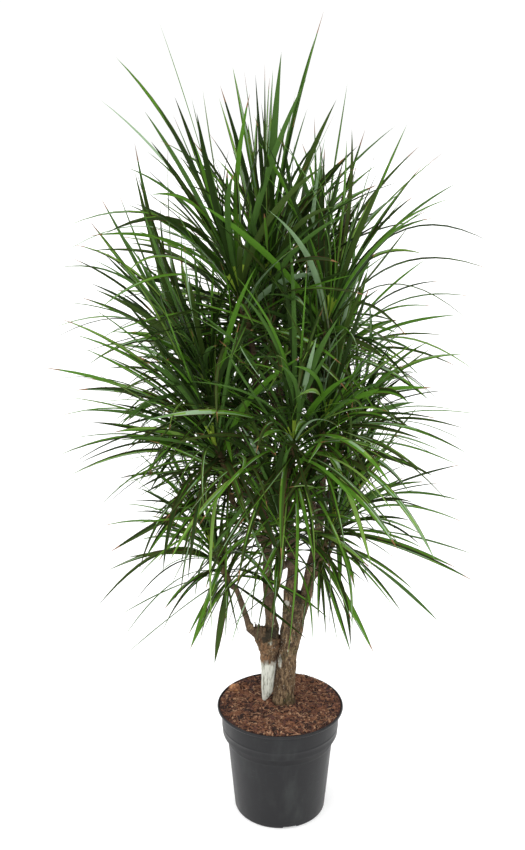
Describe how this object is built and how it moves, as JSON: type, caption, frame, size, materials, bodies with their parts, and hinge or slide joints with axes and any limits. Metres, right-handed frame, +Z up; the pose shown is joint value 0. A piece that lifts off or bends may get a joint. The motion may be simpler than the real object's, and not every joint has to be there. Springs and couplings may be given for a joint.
{
  "type": "potted madagascar dragon tree",
  "caption": "Potted dragon tree: bare trunks that fork into canes, each cane ending in a rosette of long narrow arching leaves, in a plain round black nursery pot.",
  "frame": {"origin": "The middle of the pot's flat underside, at floor level.", "axes": "+Z is up. -Y is the side that the picture shows, and +X is to the right as seen from there."},
  "size_m": [0.9201, 0.9444, 1.6008],
  "materials": {
    "pot_plastic": "matte",
    "potting_mix": "rough",
    "bark": "rough",
    "leaf_green": "satin"
  },
  "bodies": {
    "root": {"pot": "pot_plastic", "soil": "potting_mix", "trunk_right": "bark", "trunk_left": "bark", "bough_top": "bark", "bough_top_left": "bark", "bough_top_right": "bark", "bough_top_middle": "bark", "bough_top_back": "bark", "bough_upper_right": "bark", "bough_left": "bark", "bough_left_upper": "bark", "bough_left_front": "bark", "bough_left_back": "bark", "bough_front": "bark", "bough_right_front": "bark", "bough_right": "bark", "bough_back": "bark", "bough_middle_left": "bark", "bough_low_left": "bark", "bough_low_front": "bark", "bough_low_right_front": "bark", "bough_low_right": "bark", "bough_low_back": "bark", "leaves_top": "leaf_green", "leaves_top_left": "leaf_green", "leaves_top_right": "leaf_green", "leaves_top_middle": "leaf_green", "leaves_top_back": "leaf_green", "leaves_upper_right": "leaf_green", "leaves_left": "leaf_green", "leaves_left_upper": "leaf_green", "leaves_left_front": "leaf_green", "leaves_left_back": "leaf_green", "leaves_front": "leaf_green", "leaves_right_front": "leaf_green", "leaves_right": "leaf_green", "leaves_back": "leaf_green", "leaves_middle_left": "leaf_green", "leaves_low_left": "leaf_green", "leaves_low_front": "leaf_green", "leaves_low_right_front": "leaf_green", "leaves_low_right": "leaf_green", "leaves_low_back": "leaf_green"}
  },
  "joints": []
}
